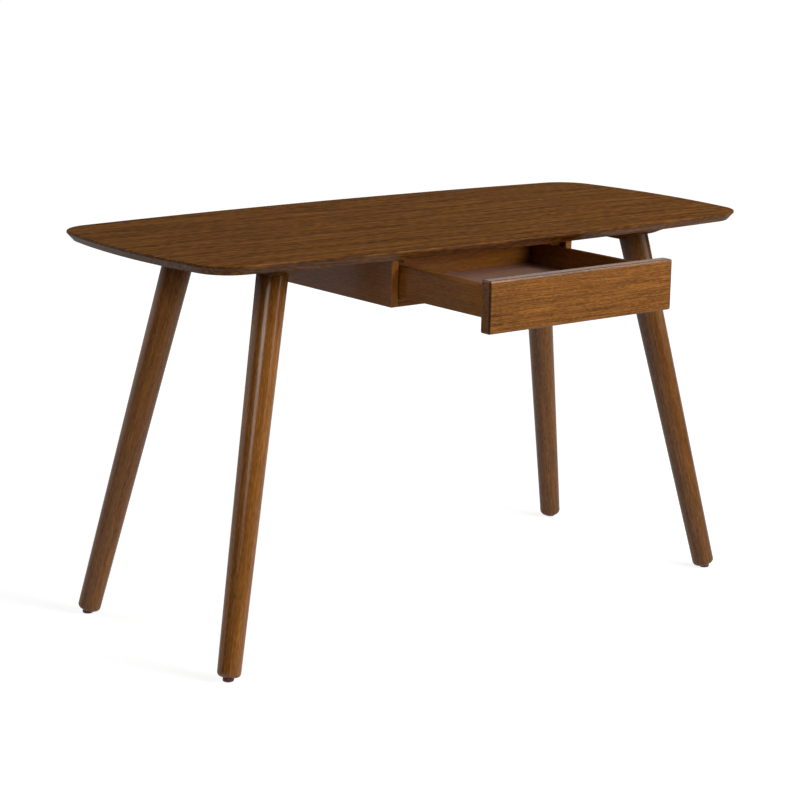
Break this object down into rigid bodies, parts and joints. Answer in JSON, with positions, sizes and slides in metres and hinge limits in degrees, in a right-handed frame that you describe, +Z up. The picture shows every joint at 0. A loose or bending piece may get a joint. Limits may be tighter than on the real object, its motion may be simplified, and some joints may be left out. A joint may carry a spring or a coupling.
{
  "type": "writing desk",
  "caption": "Writing desk: bowed top with a bevelled edge on splayed turned legs and cross bearers, with a shallow drawer sliding in a case hung under the middle of the top.",
  "frame": {"origin": "on the floor under the centre of the top", "axes": "+X to the right of a person sitting at the desk, +Y away from them, +Z up; the drawer opens towards -Y"},
  "size_m": [1.3498, 0.7873, 0.757],
  "materials": {
    "top_wood": "satin lacquer over walnut stain",
    "leg_wood": "gloss lacquer over walnut stain",
    "bearer_wood": "satin lacquer over walnut stain",
    "case_wood": "satin lacquer over walnut stain",
    "front_wood": "gloss lacquer over golden walnut stain",
    "drawer_wood": "satin lacquer over walnut stain",
    "floor_ply": "stained plywood",
    "batten_wood": "satin lacquer over walnut stain",
    "dowel_wood": "bare beech",
    "screw_steel": "zinc plated",
    "insert_brass": "turned",
    "glide_plastic": "moulded",
    "strip_nylon": "smooth"
  },
  "bodies": {
    "frame": {"bearer_left": "bearer_wood", "bearer_right": "bearer_wood", "bearer_screws": "screw_steel", "case_back": "case_wood", "case_bottom": "case_wood", "case_dowels": "dowel_wood", "case_side_left": "case_wood", "case_side_right": "case_wood", "case_top_screws": "screw_steel", "desk_top": "top_wood", "foot_glide_back_left": "glide_plastic", "foot_glide_back_right": "glide_plastic", "foot_glide_front_left": "glide_plastic", "foot_glide_front_right": "glide_plastic", "front_rail": "batten_wood", "glide_nails": "screw_steel", "kicker_left": "batten_wood", "kicker_right": "batten_wood", "kicker_screws": "screw_steel", "leg_back_left": "leg_wood", "leg_back_right": "leg_wood", "leg_bolts": "screw_steel", "leg_front_left": "leg_wood", "leg_front_right": "leg_wood", "leg_inserts": "insert_brass", "slide_strip_left": "strip_nylon", "slide_strip_right": "strip_nylon"},
    "drawer": {"drawer_front": "front_wood", "drawer_side_left": "drawer_wood", "drawer_side_right": "drawer_wood", "drawer_back": "drawer_wood", "drawer_bottom": "floor_ply", "drawer_dowels": "dowel_wood", "drawer_bottom_screws": "screw_steel", "stop_screw": "screw_steel"},
    "stop_button": {"stop_button": "batten_wood"}
  },
  "joints": [
    {"name": "drawer_slide", "type": "slide", "parent": "frame", "child": "drawer", "axis": [0, -1, 0], "range_m": [-0.254, 0.0367]},
    {"name": "stop_turn", "type": "hinge", "parent": "drawer", "child": "stop_button", "pos_m": [0, -0.1133, 0.696], "axis": [0, 1, 0], "range_deg": [0, 90]}
  ]
}
